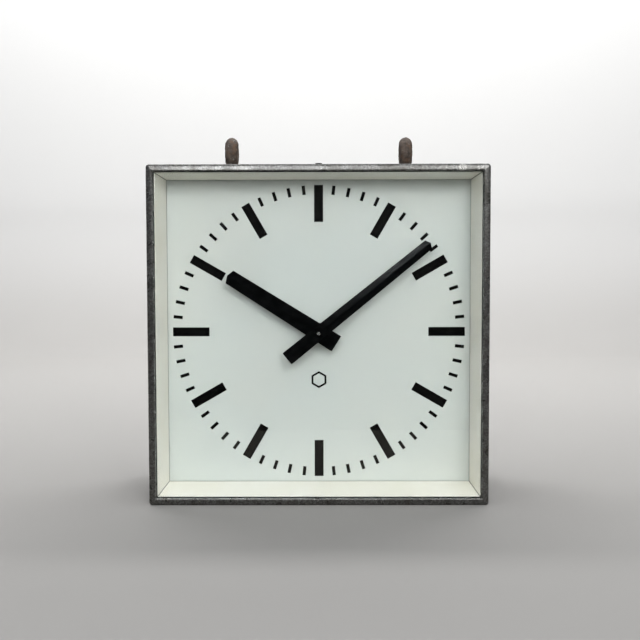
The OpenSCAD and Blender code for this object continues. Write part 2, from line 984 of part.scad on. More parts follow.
// A forged eye with its ring across the width of the case, so that the hole runs along x
module hanging_eye() {
    shank_bottom = hanger_z - washer_t - eye_nut_t - shank_end;
    difference() {
        union() {
            translate([0, 0, case_h + eye_mid])
                rotate([0, 90, 0])
                    rotate_extrude()
                        translate([eye_ring_r, 0])
                            circle(eye_bar_r);
            translate([0, 0, case_h + seat])
                cylinder(r1 = eye_collar_r, r2 = eye_bar_r - 0.5, h = 9);
            rod(eye_shank_r, shank_bottom, case_h + 1);
        }
        translate([0, 0, case_h + eye_mid])
            rotate([0, 90, 0])
                cylinder(r = eye_hole_r, h = 4 * eye_bar_r, center = true);
    }
}

module hanging_eye_left() {
    color([0.28, 0.22, 0.19])
    translate([-eye_spacing / 2, 0, 0])
        hanging_eye();
}

module hanging_eye_right() {
    color([0.28, 0.22, 0.19])
    translate([eye_spacing / 2, 0, 0])
        hanging_eye();
}

module eye_washers() {
    color("silver")
    for (side = [-1, 1])
        translate([side * eye_spacing / 2, 0, hanger_z - seat - washer_t])
            tube(washer_r, eye_shank_r + 0.4, washer_t);
}

module eye_nuts() {
    color("silver")
    for (side = [-1, 1])
        translate([side * eye_spacing / 2, 0, hanger_z - 2 * seat - washer_t - eye_nut_t])
            difference() {
                cylinder(r = eye_nut_r, h = eye_nut_t, $fn = 6);
                rod(eye_shank_r + screw_gap, -bite, eye_nut_t + bite);
            }
}

module cable_grommet() {
    color([0.12, 0.12, 0.12])
    difference() {
        union() {
            rod(grommet_barrel_r, hanger_z - 1, case_h + 1);
            rod(grommet_flange_r, case_h + seat, case_h + grommet_flange_t);
            rod(grommet_neck_r, case_h + 1, case_h + grommet_up);
        }
        rod(cable_r, hanger_z - 2, case_h + grommet_up + bite);
    }
}

module terminal_block() {
    color("saddlebrown")
    at_mid_case()
        translate([terminal_x, rail_y, rail_t / 2 + seat])
            difference() {
                translate([-terminal_size[0] / 2, -terminal_size[1] / 2, 0])
                    cube(terminal_size);
                for (i = [-1.5:1:1.5])
                    translate([i * terminal_pitch, 0, 0]) {
                        rod(2.2, terminal_size[2] - 4, terminal_size[2] + bite);
                        translate([0, 0, 5])
                            rotate([90, 0, 0])
                                cylinder(r = 1.6, h = terminal_size[1] + 2, center = true);
                    }
            }
}

case_body();
on_face() bezel();  // front_bezel
on_face(true) bezel();  // rear_bezel
on_face() glass_seal();  // front_glass_seal
on_face(true) glass_seal();  // rear_glass_seal
on_face() glass();  // front_glass
on_face(true) glass();  // rear_glass
on_face() reveal();  // front_reveal
on_face(true) reveal();  // rear_reveal
on_face() dial();  // front_dial
on_face(true) dial();  // rear_dial
on_face() dial_print();  // front_dial_print
on_face(true) dial_print();  // rear_dial_print
on_face() hour_hand();  // front_hour_hand
on_face(true) hour_hand();  // rear_hour_hand
on_face() hour_collet();  // front_hour_collet
on_face(true) hour_collet();  // rear_hour_collet
on_face() minute_hand();  // front_minute_hand
on_face(true) minute_hand();  // rear_minute_hand
on_face() minute_collet();  // front_minute_collet
on_face(true) minute_collet();  // rear_minute_collet
on_face() hand_nut();  // front_hand_nut
on_face(true) hand_nut();  // rear_hand_nut
on_face() base_plate();  // front_base_plate
on_face(true) base_plate();  // rear_base_plate
on_face() top_plate();  // front_top_plate
on_face(true) top_plate();  // rear_top_plate
on_face() centre_arbor();  // front_centre_arbor
on_face(true) centre_arbor();  // rear_centre_arbor
on_face() centre_wheel();  // front_centre_wheel
on_face(true) centre_wheel();  // rear_centre_wheel
on_face() cannon_pinion();  // front_cannon_pinion
on_face(true) cannon_pinion();  // rear_cannon_pinion
on_face() motion_wheel();  // front_motion_wheel
on_face(true) motion_wheel();  // rear_motion_wheel
on_face() hour_wheel();  // front_hour_wheel
on_face(true) hour_wheel();  // rear_hour_wheel
on_face() intermediate_wheel();  // front_intermediate_wheel
on_face(true) intermediate_wheel();  // rear_intermediate_wheel
on_face() rotor_magnet();  // front_rotor_magnet
on_face(true) rotor_magnet();  // rear_rotor_magnet
on_face() rotor_arbor();  // front_rotor_arbor
on_face(true) rotor_arbor();  // rear_rotor_arbor
on_face() stator();  // front_stator
on_face(true) stator();  // rear_stator
on_face() impulse_coil();  // front_impulse_coil
on_face(true) impulse_coil();  // rear_impulse_coil
movement_pillars();
movement_screws();
rail_bolts();
mounting_rail();
case_screws();
dial_screws();
hanger_bar();
hanging_eye_left();
hanging_eye_right();
eye_washers();
eye_nuts();
cable_grommet();
terminal_block();
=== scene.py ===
"""Looks of a double-sided square slave clock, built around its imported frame.

Face coordinates are millimetres from the middle of the case: x to the right, y up, z outwards.
The front face looks along -Y, and the rear face is the same turned half round the upright axis.
"""

import math

import bmesh
import bpy
import numpy as np
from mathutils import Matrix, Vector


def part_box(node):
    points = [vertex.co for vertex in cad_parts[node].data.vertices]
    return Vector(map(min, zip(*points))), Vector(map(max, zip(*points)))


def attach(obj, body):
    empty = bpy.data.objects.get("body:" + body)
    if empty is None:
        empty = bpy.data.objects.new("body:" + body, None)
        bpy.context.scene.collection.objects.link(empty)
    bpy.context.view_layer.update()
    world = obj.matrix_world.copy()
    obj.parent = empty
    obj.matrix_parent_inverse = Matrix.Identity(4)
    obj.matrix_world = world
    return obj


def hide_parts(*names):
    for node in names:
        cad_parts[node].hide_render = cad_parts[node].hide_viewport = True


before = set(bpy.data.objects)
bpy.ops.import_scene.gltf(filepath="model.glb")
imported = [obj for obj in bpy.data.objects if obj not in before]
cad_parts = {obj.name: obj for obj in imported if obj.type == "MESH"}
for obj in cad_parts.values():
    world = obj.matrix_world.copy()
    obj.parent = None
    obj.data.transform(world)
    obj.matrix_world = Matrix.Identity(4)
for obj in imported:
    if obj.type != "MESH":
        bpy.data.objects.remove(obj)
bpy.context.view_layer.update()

MM = 0.001
FACES = ("front", "rear")
CASE_LO, CASE_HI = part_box("case_body")
MID_HEIGHT = (CASE_LO.z + CASE_HI.z) / 2 / MM
CASE_TOP = CASE_HI.z / MM

# Metres between points of a mesh that count as one.
MERGE_GAP = 1e-6


# ---------------------------------------------------------------- places and measures


def to_world(points, face):
    """Face coordinates to metres: X = x, Y = -z, Z = y + half the height; the rear turns both."""
    side = 1 if face == "front" else -1
    x, y, z = points[..., 0], points[..., 1], points[..., 2]
    return np.stack([side * x, -side * z, y + MID_HEIGHT], -1) * MM


def frame_points(node, face):
    """A node's corners in face coordinates."""
    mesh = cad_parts[node].data
    co = np.zeros(len(mesh.vertices) * 3)
    mesh.vertices.foreach_get("co", co)
    side = 1 if face == "front" else -1
    x, y, z = co.reshape(-1, 3).T / MM
    return np.stack([side * x, z - MID_HEIGHT, -side * y], -1)


# How far the edges of a hand's folded sheet reach below the height at which it is placed.
EDGE_UNDER = 0.5


def hand_measures(node, face):
    """Turn, reach, tail, widths and heights of a hand, from its own corners. Its blunt point
    starts at the widest corner in the last tenth of the reach."""
    near_tail, near_shoulder, near_tip = 0.5, 0.3, 0.1
    p = frame_points(node, face)
    radius = np.hypot(p[:, 0], p[:, 1])
    tip = p[radius.argmax()]
    turn = math.atan2(tip[0], tip[1])
    along = p[:, 0] * math.sin(turn) + p[:, 1] * math.cos(turn)
    across = p[:, 0] * math.cos(turn) - p[:, 1] * math.sin(turn)
    reach, tail = along.max(), -along.min()
    at_tail = across[along < near_tail - tail]
    end = along > 0.9 * reach
    shoulder = along[end][np.abs(across[end]).argmax()]
    at_shoulder = across[np.abs(along - shoulder) < near_shoulder]
    place = p[:, 2].min() + EDGE_UNDER
    ridge = p[along > reach - near_tip][:, 2].max() - place
    return {
        "turn": turn,
        "reach": reach,
        "tail": tail,
        "w_tail": np.ptp(at_tail),
        "w_tip": np.ptp(at_shoulder),
        "point": reach - shoulder,
        "place": place,
        "ridge": ridge,
        "hub": p[:, 2].max() - place,
    }


# ---------------------------------------------------------------- surfaces


def quads(nu, nv, wrap_u, wrap_v):
    """Corner numbers of the quads of a grid with nu rows of nv points."""
    i = np.arange(nu if wrap_u else nu - 1)[:, None]
    j = np.arange(nv if wrap_v else nv - 1)[None, :]
    i2, j2 = (i + 1) % nu, (j + 1) % nv
    corners = [i * nv + j, i2 * nv + j, i2 * nv + j2, i * nv + j2]
    shape = np.broadcast_shapes(i.shape, j.shape)
    return np.stack([np.broadcast_to(c, shape) for c in corners], -1).reshape(-1, 4)


def finish_mesh(mesh):
    """Merges doubled points, drops flat faces and turns every face outwards."""
    work = bmesh.new()
    work.from_mesh(mesh)
    bmesh.ops.remove_doubles(work, verts=work.verts, dist=MERGE_GAP)
    bmesh.ops.dissolve_degenerate(work, edges=work.edges, dist=MERGE_GAP)
    bmesh.ops.recalc_face_normals(work, faces=work.faces)
    work.to_mesh(mesh)
    work.free()


def piece_from_grids(name, grids, smooth_angle=40):
    """One object from grids of world points, each given as (points, wrap_u, wrap_v, caps).
    A cap closes the first or the last row with one face."""
    verts, faces, start = [], [], 0
    for points, wrap_u, wrap_v, caps in grids:
        nu, nv = points.shape[:2]
        verts.append(points.reshape(-1, 3))
        faces += (quads(nu, nv, wrap_u, wrap_v) + start).tolist()
        if caps:
            faces.append((np.arange(nv) + start).tolist())
            faces.append((np.arange(nv) + start + (nu - 1) * nv).tolist())
        start += nu * nv
    mesh = bpy.data.meshes.new(name)
    mesh.from_pydata(np.concatenate(verts).tolist(), [], faces)
    finish_mesh(mesh)
    obj = bpy.data.objects.new(name, mesh)
    bpy.context.scene.collection.objects.link(obj)
    shade(obj, smooth_angle)
    return obj


def shade(obj, smooth_angle):
    """Smooth shading, with edges sharper than smooth_angle degrees kept crisp."""
    mesh = obj.data
    mesh.polygons.foreach_set("use_smooth", np.ones(len(mesh.polygons), bool))
    mesh.set_sharp_from_angle(angle=math.radians(smooth_angle))


def apply_modifiers(obj):
    """Writes the object's modifiers into its mesh."""
    graph = bpy.context.evaluated_depsgraph_get()
    mesh = bpy.data.meshes.new_from_object(obj.evaluated_get(graph))
    obj.modifiers.clear()
    old = obj.data
    obj.data = mesh
    bpy.data.meshes.remove(old)


def combine(obj, tool, operation):
    """Joins obj with the tool or cuts it, and removes the tool."""
    change = obj.modifiers.new("combine", "BOOLEAN")
    change.object = tool
    change.operation = operation
    change.solver = "EXACT"
    apply_modifiers(obj)
    bpy.data.objects.remove(tool)


def round_corners(corners, radii, steps):
    """A closed outline with each corner replaced by an arc of its radius.
    The arc touches both sides at radius / tan(half the corner's angle) from the corner, and its
    centre is radius / sin(half that angle) along the line that halves the corner."""
    p = np.array(corners, float)
    r = np.array(radii, float)[:, None]
    back = np.roll(p, 1, 0) - p
    ahead = np.roll(p, -1, 0) - p
    back /= np.linalg.norm(back, axis=1, keepdims=True)
    ahead /= np.linalg.norm(ahead, axis=1, keepdims=True)
    half = np.arccos(np.clip((back * ahead).sum(1, keepdims=True), -1, 1)) / 2
    middle = (back + ahead) / np.linalg.norm(back + ahead, axis=1, keepdims=True)
    centre = p + middle * r / np.sin(half)
    start = p + back * r / np.tan(half) - centre
    end = p + ahead * r / np.tan(half) - centre
    t = np.linspace(0, 1, steps)[None, :, None]
    sweep = math.pi - 2 * half[:, :, None]
    arc = (np.sin((1 - t) * sweep) * start[:, None] + np.sin(t * sweep) * end[:, None]) / np.sin(sweep)
    return (centre[:, None] + arc).reshape(-1, 2)


def rectangle_path(arc_steps, side_steps):
    """Corner signs and outward directions round a rounded rectangle, as two arrays.
    A point of the path is signs * (half size - radius) + directions * radius."""
    signs = np.array([[1, 1], [-1, 1], [-1, -1], [1, -1]], float)
    angle = np.linspace(0, math.pi / 2, arc_steps)
    turn = angle[None, :] + np.arange(4)[:, None] * math.pi / 2
    out = np.stack([np.cos(turn), np.sin(turn)], -1)
    place = np.repeat(signs[:, None], arc_steps, 1)
    t = np.linspace(0, 1, side_steps + 2)[1:-1][None, :, None]
    ahead = np.roll(signs, -1, 0)[:, None]
    side_place = signs[:, None] * (1 - t) + ahead * t
    side_out = np.repeat(out[:, -1:], side_steps, 1)
    place = np.concatenate([place, side_place], 1).reshape(-1, 2)
    out = np.concatenate([out, side_out], 1).reshape(-1, 2)
    return place, out


def frame_sweep(profile, half, corner_r, least_r):
    """A profile of (distance in from the outer face, depth) carried round a rounded rectangle.
    The corner radius shrinks by the distance in, and never below least_r."""
    place, out = rectangle_path(arc_steps=10, side_steps=24)
    d, z = profile[:, 0], profile[:, 1]
    r = np.maximum(corner_r - d, least_r)
    run = np.array(half)[None, None] - d[None, :, None] - r[None, :, None]
    xy = place[:, None] * run + out[:, None] * r[None, :, None]
    depth = np.broadcast_to(z[None, :, None], xy.shape[:2] + (1,))
    return np.concatenate([xy, depth], -1)


def lathe(profile, steps=64, wave=None):
    """A profile of (radius, height) turned round the z axis. The function wave, of angle,
    radius and height, scales the radius."""
    turn = np.linspace(0, 2 * math.pi, steps, endpoint=False)[:, None]
    r, z = profile[None, :, 0], profile[None, :, 1]
    scale = 1 if wave is None else wave(turn, r, z)
    x, y = r * scale * np.cos(turn), r * scale * np.sin(turn)
    return np.stack([x, y, np.broadcast_to(z, x.shape)], -1)


HAND_SHEET = 0.9
HAND_FOLD = 0.8
# Gaps that keep the scene's hand inside the frame's.
RIDGE_GAP, HUB_GAP = 0.05, 0.02
HUB_DOWN, HUB_BEVEL = 0.6, 0.3
HOLE_REACH = 6


def folded_hand(name, face, m, bore, hub_r):
    """A folded hand: its section carried from tail to tip while the half width runs from
    w_tail / 2 to w_tip / 2, and to almost nothing over the blunt point. Across the hand the top
    is ridge - slope * (sqrt(x^2 + fold^2) - fold), the underside is one sheet lower, and half
    circles join the two along the edges. The tail's corners are drawn in by
    corner * exp(-distance from the tail / fade)."""
    half_tail, half_tip = m["w_tail"] / 2, m["w_tip"] / 2
    slope = m["ridge"] / half_tail
    corner, fade, least_share = 0.3, 0.25, 0.02
    bulge, steps = 0.02, 29
    run = m["reach"] - m["point"]
    body = np.linspace(-m["tail"], run, 60)
    point = np.linspace(0, 1, 8)[1:]
    along = np.concatenate([body, run + m["point"] * point])
    half = np.interp(body, [-m["tail"], run], [half_tail, half_tip])
    half = np.concatenate([half, half_tip * np.maximum(1 - point, least_share)])
    half = half - corner * np.exp(-(along + m["tail"]) / fade)
    q = np.cos(np.linspace(0, math.pi, steps))
    roll = np.linspace(math.pi / 2, -math.pi / 2, 7)[1:-1]
    edge = 1 + bulge * np.cos(roll)
    share = np.concatenate([q, -edge, -q, edge[::-1]]) / (1 + bulge)
    rolled = 0.5 + 0.5 * np.sin(roll)
    lift = np.concatenate([np.ones(steps), rolled, np.zeros(steps), rolled[::-1]])
    x = share[None, :] * half[:, None]
    fall = slope * (np.sqrt(x * x + HAND_FOLD * HAND_FOLD) - HAND_FOLD)
    top = m["ridge"] - fall - RIDGE_GAP
    z = top - HAND_SHEET * (1 - lift[None, :])
    y = np.broadcast_to(along[:, None], x.shape)
    points = np.stack([x, y, z + m["place"]], -1)
    hand = piece_from_grids(name, [(spin(points, m["turn"], face), False, True, True)], 35)
    hub_top = m["hub"] - HUB_GAP
    hub = np.array([
        [0, -HUB_DOWN], [hub_r, -HUB_DOWN], [hub_r, hub_top - 0.23],
        [hub_r - HUB_BEVEL, hub_top], [0, hub_top],
    ])
    disc = lathe(hub + [0, m["place"]])
    combine(hand, piece_from_grids("hub", [(to_world(disc, face), True, False, False)]), "UNION")
    hole = np.array([[0, -HOLE_REACH], [bore, -HOLE_REACH], [bore, HOLE_REACH], [0, HOLE_REACH]])
    drill = lathe(hole + [0, m["place"]], 48)
    combine(hand, piece_from_grids("hole", [(to_world(drill, face), True, False, False)]), "DIFFERENCE")
    shade(hand, 25)
    return hand


def spin(points, turn, face):
    """Turns points clockwise about the face's middle, then puts them into the world."""
    c, s = math.cos(turn), math.sin(turn)
    x = points[..., 0] * c + points[..., 1] * s
    y = points[..., 1] * c - points[..., 0] * s
    return to_world(np.stack([x, y, points[..., 2]], -1), face)


# ---------------------------------------------------------------- finishes


class Finish:
    """A material, with short calls that add nodes to it."""

    def __init__(self, name):
        self.material = bpy.data.materials.new(name)
        self.material.use_nodes = True
        self.tree = self.material.node_tree
        self.tree.nodes.clear()
        self.out = self.tree.nodes.new("ShaderNodeOutputMaterial")
        self.place = self.add("TexCoord").outputs["Object"]

    def add(self, kind, sockets=None, **settings):
        """Adds a node; sockets holds numbers or other nodes' outputs, by socket name or number."""
        node = self.tree.nodes.new("ShaderNode" + kind)
        for key, value in settings.items():
            setattr(node, key, value)
        for key, value in (sockets or {}).items():
            if isinstance(value, bpy.types.NodeSocket):
                self.tree.links.new(value, node.inputs[key])
            else:
                node.inputs[key].default_value = value
        return node

    def noise(self, scale, detail=3, rough=0.5, place=None, warp=0):
        """Cloudy noise from 0 to 1, scale in patches per metre."""
        sockets = {"Vector": place or self.place, "Scale": scale, "Detail": detail}
        sockets.update({"Roughness": rough, "Distortion": warp})
        return self.add("TexNoise", sockets).outputs["Fac"]

    def ramp(self, value, low, high, a=0.0, b=1.0):
        """Maps value from low..high to a..b, smoothly and clamped."""
        sockets = {"Value": value, "From Min": low, "From Max": high, "To Min": a, "To Max": b}
        return self.add("MapRange", sockets, interpolation_type="SMOOTHSTEP").outputs["Result"]

    def mix(self, share, a, b):
        """Colour a where share is 0 and b where it is 1."""
        node = self.add("Mix", data_type="RGBA")
        for index, value in ((0, share), (6, a), (7, b)):
            if isinstance(value, bpy.types.NodeSocket):
                self.tree.links.new(value, node.inputs[index])
            else:
                node.inputs[index].default_value = value if index == 0 else (*value, 1)
        return node.outputs[2]

    def math(self, operation, a, b=0.0):
        """One step of arithmetic on two values."""
        return self.add("Math", {0: a, 1: b}, operation=operation).outputs[0]

    def stretched(self, x, y, z):
        """Object coordinates scaled on each axis."""
        return self.add("Mapping", {"Vector": self.place, "Scale": (x, y, z)}).outputs[0]

    def bump(self, height, strength, depth, under=None):
        """Relief of the given depth in metres, on top of other relief."""
        sockets = {"Height": height, "Strength": strength, "Distance": depth}
        if under is not None:
            sockets["Normal"] = under
        return self.add("Bump", sockets).outputs[0]

    def surface(self, colour, rough, normal=None, **more):
        """The shader that the piece ends in."""
        names = {
            "metal": "Metallic",
            "coat": "Coat Weight",
            "coat_rough": "Coat Roughness",
            "level": "Specular IOR Level",
            "ior": "IOR",
            "clear": "Transmission Weight",
        }
        linked = isinstance(colour, bpy.types.NodeSocket)
        sockets = {"Base Color": colour if linked else (*colour, 1), "Roughness": rough}
        sockets.update({names[key]: value for key, value in more.items()})
        if normal is not None:
            sockets["Normal"] = normal
        shader = self.add("BsdfPrincipled", sockets)
        self.tree.links.new(shader.outputs[0], self.out.inputs["Surface"])
        return shader


def near(finish, point, reach):
    """1 close to a point in metres, falling to 0 between 0.55 reach and reach from it."""
    sockets = {0: finish.place, 1: point}
    gap = finish.add("VectorMath", sockets, operation="DISTANCE").outputs["Value"]
    return finish.ramp(gap, reach, reach * 0.55)


def hammered_enamel():
    """Hammered grey enamel: domed cells a few millimetres wide, with dark valleys and pale
    flake, and one small pale fleck near the right end of the front top lip."""
    valley, crown, flake_grey = (0.1, 0.1, 0.096), (0.23, 0.23, 0.225), (0.34, 0.34, 0.335)
    drift_dark, grime_dark = (0.09, 0.086, 0.074), (0.06, 0.054, 0.042)
    pale_fleck, fleck_place, fleck_reach = (0.78, 0.78, 0.74), (0.1755, -0.105, 0.4155), 0.006
    f = Finish("hammered_enamel")
    drift = f.noise(90, 2)
    wander = f.add("TexNoise", {"Vector": f.place, "Scale": 260.0}).outputs["Color"]
    shift = f.add("VectorMath", {0: wander, "Scale": 0.0016}, operation="SCALE").outputs[0]
    moved = f.add("VectorMath", {0: f.place, 1: shift}, operation="ADD").outputs[0]
    grid = {"Vector": moved, "Scale": 430.0, "Smoothness": 0.75}
    cells = f.add("TexVoronoi", grid, feature="SMOOTH_F1").outputs["Distance"]
    dome = f.ramp(cells, 0.1, 0.75, 1, 0)
    flake = f.noise(2600, 2)
    body = f.mix(dome, valley, crown)
    body = f.mix(f.ramp(flake, 0.45, 0.7, 0, 0.5), body, flake_grey)
    body = f.mix(f.ramp(drift, 0.4, 0.7, 0, 0.4), body, drift_dark)
    grime = f.ramp(f.noise(35, 5, 0.65), 0.52, 0.7, 0, 0.55)
    body = f.mix(grime, body, grime_dark)
    # A small pale fleck near the right end of the front top lip, with less metal in it.
    corner = near(f, fleck_place, fleck_reach)
    flecks = f.math("MULTIPLY", corner, f.ramp(f.noise(900, 3, 0.6), 0.42, 0.5))
    body = f.mix(flecks, body, pale_fleck)
    rough = f.ramp(f.noise(60, 4), 0.3, 0.7, 0.24, 0.36)
    relief = f.bump(dome, 0.6, 0.00012)
    relief = f.bump(flake, 0.12, 0.00003, relief)
    metal = f.math("MULTIPLY", f.math("SUBTRACT", 1.0, flecks), 0.65)
    f.surface(body, rough, relief, metal=metal, coat=0.35, coat_rough=0.22)
    return f.material


def aged_cream():
    """Cream satin paint of the reveal, with faint dust and yellowing, and dark joint lines along its
    mitres, where (|x| - half width) - (|z - middle| - half height) is nothing. At the dial the same dark
    is painted shade over the narrow gap where the reveal meets the dial."""
    fresh, yellowed, dusty = (0.92, 0.895, 0.83), (0.885, 0.855, 0.77), (0.42, 0.38, 0.28)
    # The seam colour is the mitre joint lines, and also painted shade along the dial edge.
    streaked, seam_and_shade_dark = (0.83, 0.79, 0.7), (0.05, 0.045, 0.035)
    f = Finish("aged_cream")
    low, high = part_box("front_reveal")
    axes = f.add("SeparateXYZ", {0: f.place}).outputs
    side = f.math("SUBTRACT", f.math("ABSOLUTE", axes["X"]), high.x)
    up = f.math("ABSOLUTE", f.math("SUBTRACT", axes["Z"], MID_HEIGHT * MM))
    up = f.math("SUBTRACT", up, (high.z - low.z) / 2)
    mitre = f.ramp(f.math("ABSOLUTE", f.math("SUBTRACT", side, up)), 0.0003, 0.0011, 0.75, 0)
    inwards = f.math("SUBTRACT", f.math("ABSOLUTE", axes["Y"]), min(abs(low.y), abs(high.y)))
    # Mitre joint lines, plus painted shade over the last few millimetres of the reveal next to the dial.
    seam_and_shade = f.math("MAXIMUM", mitre, f.ramp(inwards, 0.0008, 0.0028, 0.9, 0))
    wash = f.noise(14, 4, 0.55)
    body = f.mix(f.ramp(wash, 0.35, 0.7), fresh, yellowed)
    specks = f.ramp(f.noise(900, 4, 0.7), 0.66, 0.76, 0, 0.35)
    body = f.mix(specks, body, dusty)
    streaks = f.ramp(f.noise(60, 3, 0.5, f.stretched(1, 0.15, 1)), 0.5, 0.75, 0, 0.25)
    body = f.mix(streaks, body, streaked)
    body = f.mix(seam_and_shade, body, seam_and_shade_dark)
    peel = f.bump(f.noise(700, 2), 0.25, 0.00008)
    f.surface(body, f.ramp(wash, 0.3, 0.7, 0.36, 0.5), peel)
    return f.material


def dial_enamel():
    """Pale green-grey satin enamel of the dial, a little yellowed in patches."""
    cool, warm = (0.585, 0.625, 0.605), (0.595, 0.62, 0.59)
    clouded, specked = (0.55, 0.59, 0.565), (0.4, 0.4, 0.34)
    f = Finish("dial_enamel")
    wash = f.noise(5, 3, 0.5)
    body = f.mix(f.ramp(wash, 0.35, 0.7), cool, warm)
    cloud = f.ramp(f.noise(26, 5, 0.6), 0.5, 0.8, 0, 0.3)
    body = f.mix(cloud, body, clouded)
    specks = f.ramp(f.noise(1300, 3, 0.7), 0.7, 0.8, 0, 0.4)
    body = f.mix(specks, body, specked)
    peel = f.bump(f.noise(520, 2), 0.2, 0.00006)
    f.surface(body, f.ramp(f.noise(40, 3), 0.3, 0.7, 0.34, 0.46), peel)
    return f.material


def printed_ink():
    """Black printing ink, slightly uneven and satin."""
    full, thin = (0.0016, 0.0016, 0.0015), (0.004, 0.0036, 0.0033)
    f = Finish("printed_ink")
    body = f.mix(f.ramp(f.noise(240, 4), 0.35, 0.7), full, thin)
    grain = f.bump(f.noise(2200, 2), 0.2, 0.00003)
    f.surface(body, f.ramp(f.noise(180, 3), 0.3, 0.7, 0.15, 0.22), grain, level=0.15)
    return f.material


def hand_black():
    """Semi-gloss black paint on the folded hands, with fine dust."""
    deep, worn, dusty = (0.0018, 0.002, 0.0022), (0.0045, 0.0048, 0.0052), (0.012, 0.012, 0.0115)
    f = Finish("hand_black")
    body = f.mix(f.ramp(f.noise(110, 4), 0.4, 0.75), deep, worn)
    dust = f.ramp(f.noise(2600, 3, 0.7), 0.66, 0.78, 0, 0.35)
    body = f.mix(dust, body, dusty)
    peel = f.bump(f.noise(420, 2), 0.15, 0.00004)
    f.surface(body, f.ramp(f.noise(75, 3), 0.3, 0.7, 0.12, 0.17), peel, level=0.04)
    return f.material


def metal_finish(name, base, dull, rough_low, rough_high, turned=False):
    """Bare or plated metal with dull patches and fine scratches, which run level unless the
    piece is turned."""
    f = Finish(name)
    patches = f.ramp(f.noise(70, 5, 0.6), 0.4, 0.7)
    body = f.mix(patches, base, dull)
    fine = f.noise(700, 3, 0.6, None if turned else f.stretched(1, 1, 12))
    body = f.mix(f.ramp(fine, 0.55, 0.8, 0, 0.3), body, tuple(c * 0.6 for c in base))
    relief = f.bump(fine, 0.2, 0.00004)
    f.surface(body, f.ramp(f.noise(160, 4), 0.3, 0.7, rough_low, rough_high), relief, metal=0.9)
    return f.material


def forged_iron():
    """Rusty forged iron: brown scale, patches of orange rust and bare pale rubs."""
    scale_dark, scale_pale = (0.085, 0.066, 0.055), (0.2, 0.155, 0.125)
    rusty, bare = (0.24, 0.14, 0.085), (0.48, 0.44, 0.41)
    f = Finish("forged_iron")
    scale = f.noise(160, 6, 0.65)
    body = f.mix(f.ramp(scale, 0.38, 0.62), scale_dark, scale_pale)
    rust = f.ramp(f.noise(95, 5, 0.7), 0.5, 0.68, 0, 0.7)
    body = f.mix(rust, body, rusty)
    rubbed = f.ramp(f.noise(210, 5, 0.6, warp=0.5), 0.6, 0.7, 0, 0.75)
    body = f.mix(rubbed, body, bare)
    relief = f.bump(f.noise(420, 6, 0.7), 0.7, 0.0006)
    relief = f.bump(f.noise(1800, 3, 0.7), 0.4, 0.00015, relief)
    f.surface(body, f.ramp(scale, 0.3, 0.7, 0.55, 0.85), relief, metal=f.math("MULTIPLY", rubbed, 0.6))
    return f.material


def seal_rubber():
    """Black rubber, dusty, with a fine grain."""
    black, dull, specked = (0.012, 0.012, 0.012), (0.024, 0.0234, 0.0216), (0.12, 0.115, 0.1)
    f = Finish("seal_rubber")
    dusty = f.ramp(f.noise(120, 5, 0.6), 0.42, 0.7)
    body = f.mix(dusty, black, dull)
    body = f.mix(f.ramp(f.noise(1500, 3, 0.7), 0.62, 0.75, 0, 0.3), body, specked)
    f.surface(body, f.ramp(f.noise(90, 3), 0.3, 0.7, 0.5, 0.7), f.bump(f.noise(1400, 3), 0.3, 0.00008))
    return f.material


def window_glass():
    """Clear window glass, faintly green, that lets light through without dark shadows."""
    clear, green = (0.985, 0.998, 0.992), (0.98, 0.995, 0.99)
    f = Finish("window_glass")
    tint = f.mix(f.ramp(f.noise(30, 3), 0.4, 0.6), clear, green)
    smear = f.ramp(f.noise(22, 5, 0.65), 0.5, 0.8, 0.0, 0.012)
    glass = f.surface(tint, smear, clear=1.0, ior=1.5)
    through = f.add("BsdfTransparent", {"Color": (0.97, 0.985, 0.978, 1)})
    shadow = f.add("LightPath").outputs["Is Shadow Ray"]
    both = f.add("MixShader", {0: shadow, 1: glass.outputs[0], 2: through.outputs[0]})
    f.tree.links.new(both.outputs[0], f.out.inputs["Surface"])
    return f.material


def layered(name, axis, per_metre, light, dark, metal, rough):
    """Thin layers or turns of wire across one axis: stripes of light and dark with relief."""
    f = Finish(name)
    wave = {"Vector": f.place, "Scale": per_metre, "Distortion": 0.3, "Detail": 1.0}
    stripe = f.add("TexWave", wave, bands_direction=axis).outputs["Fac"]
    body = f.mix(stripe, dark, light)
    body = f.mix(f.ramp(f.noise(90, 4), 0.45, 0.75, 0, 0.4), body, tuple(c * 0.5 for c in dark))
    f.surface(body, rough, f.bump(stripe, 0.5, 0.0002), metal=metal)
    return f.material


def moulded_brown():
    """Brown moulded bakelite with darker swirls."""
    dark, light = (0.09, 0.035, 0.018), (0.17, 0.075, 0.04)
    f = Finish("moulded_brown")
    swirl = f.noise(60, 5, 0.6, warp=1.5)
    body = f.mix(f.ramp(swirl, 0.4, 0.65), dark, light)
    f.surface(body, f.ramp(f.noise(120, 3), 0.3, 0.7, 0.25, 0.45), f.bump(f.noise(900, 2), 0.2, 0.00005))
    return f.material


